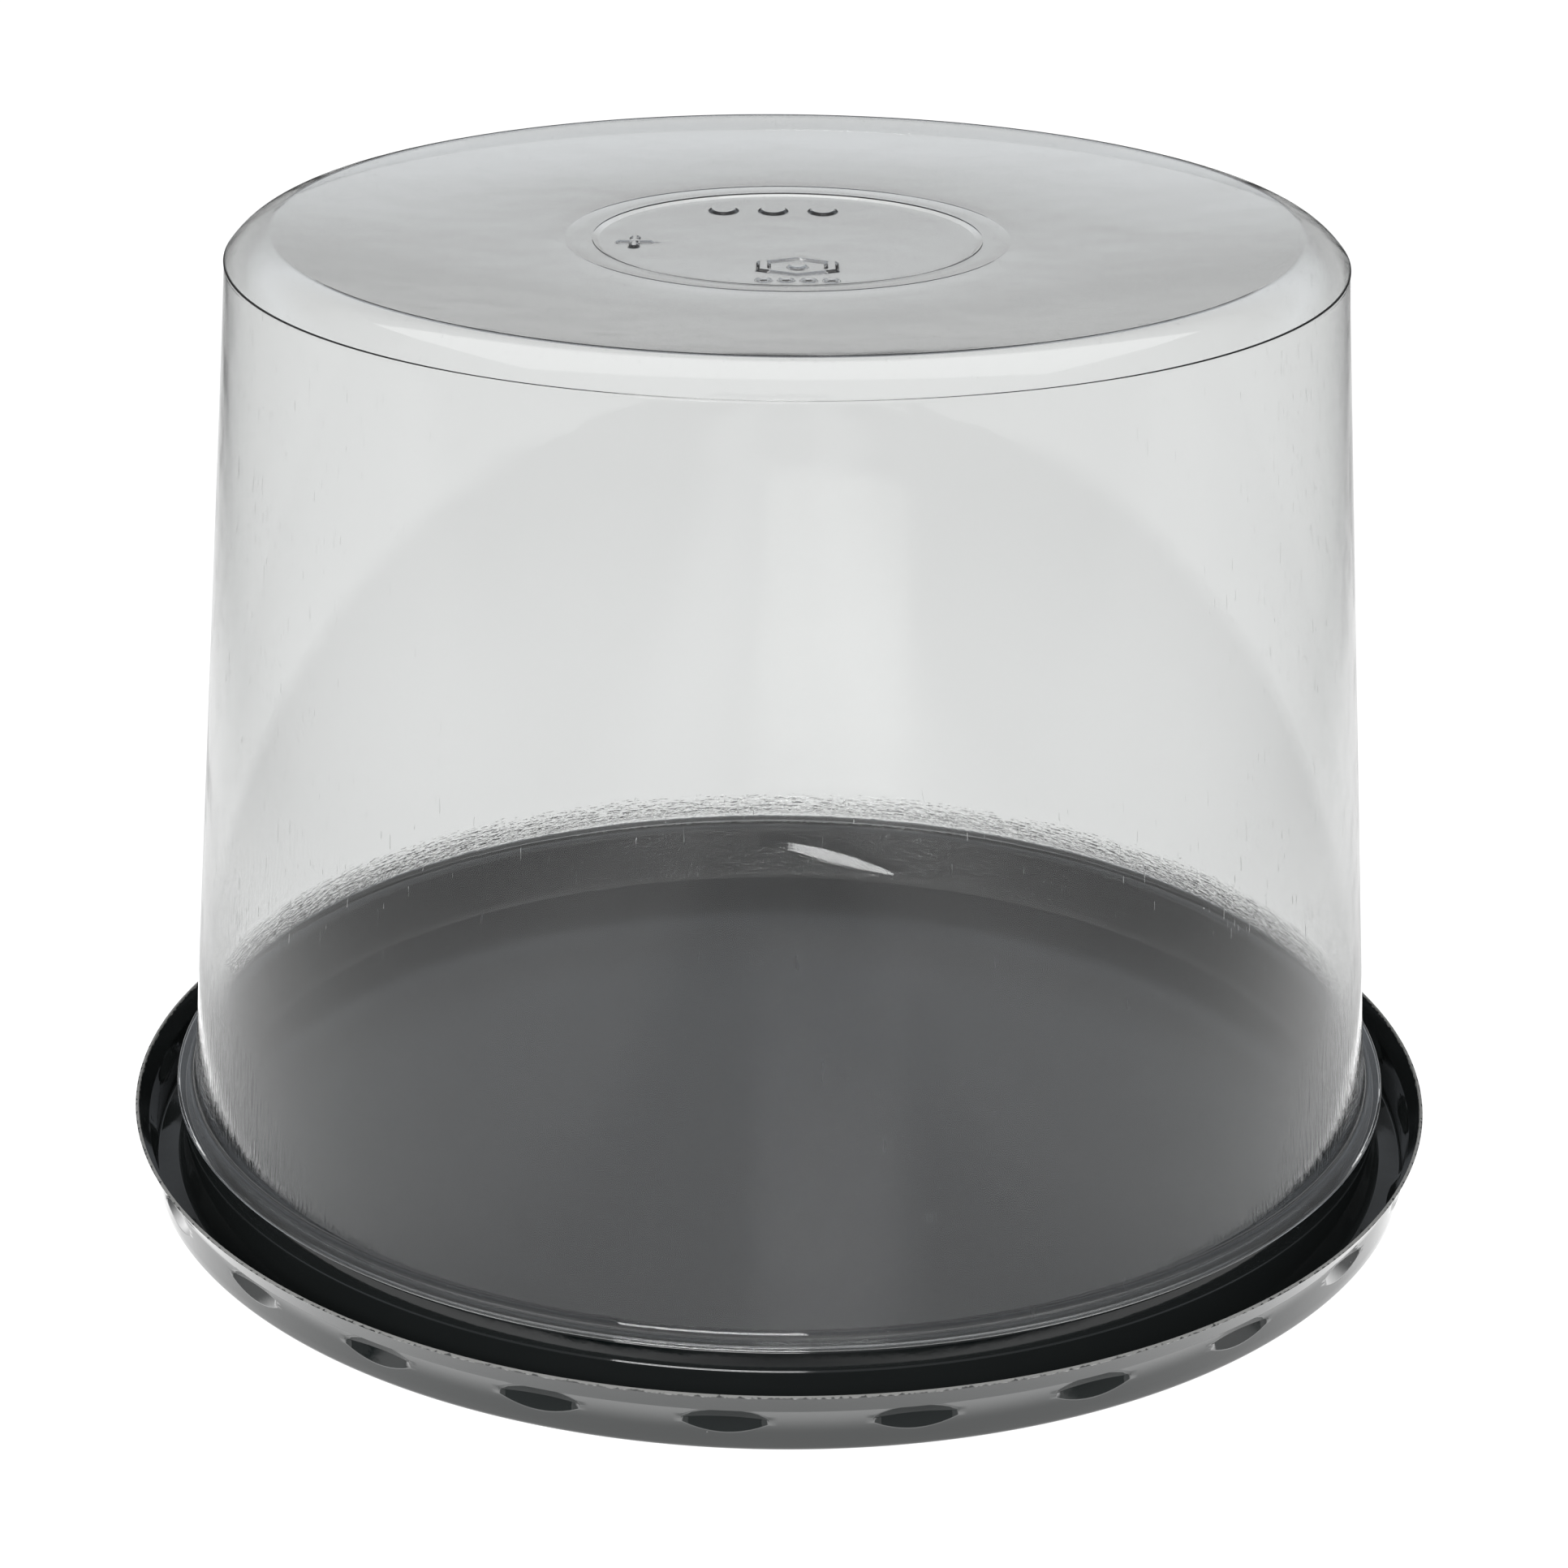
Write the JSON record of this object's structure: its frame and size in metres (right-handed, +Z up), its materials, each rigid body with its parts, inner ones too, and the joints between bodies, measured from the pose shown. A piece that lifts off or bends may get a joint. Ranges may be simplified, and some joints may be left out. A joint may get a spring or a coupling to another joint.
{
  "type": "humidity dome tray",
  "caption": "Round clear dome with a dished top, resting on the raised seat ring of a shallow black tray with a moat and a lugged outer wall.",
  "frame": {"origin": "centre of the tray's underside, on the surface that it stands on", "axes": "+Z up along the axis of the dome and the tray; -Y is the side from which the marks on the dome's top read upright"},
  "size_m": [0.25, 0.25, 0.1806],
  "materials": {
    "black_sheet": "glossy black thermoformed sheet",
    "clear_sheet": "clear glossy thermoformed sheet, faintly wavy"
  },
  "bodies": {
    "tray": {"tray": "black_sheet"},
    "dome": {"dome": "clear_sheet"}
  },
  "joints": [
    {"name": "dome_lift", "type": "slide", "parent": "tray", "child": "dome", "axis": [0, 0, 1], "range_m": [0, 0.2]}
  ]
}
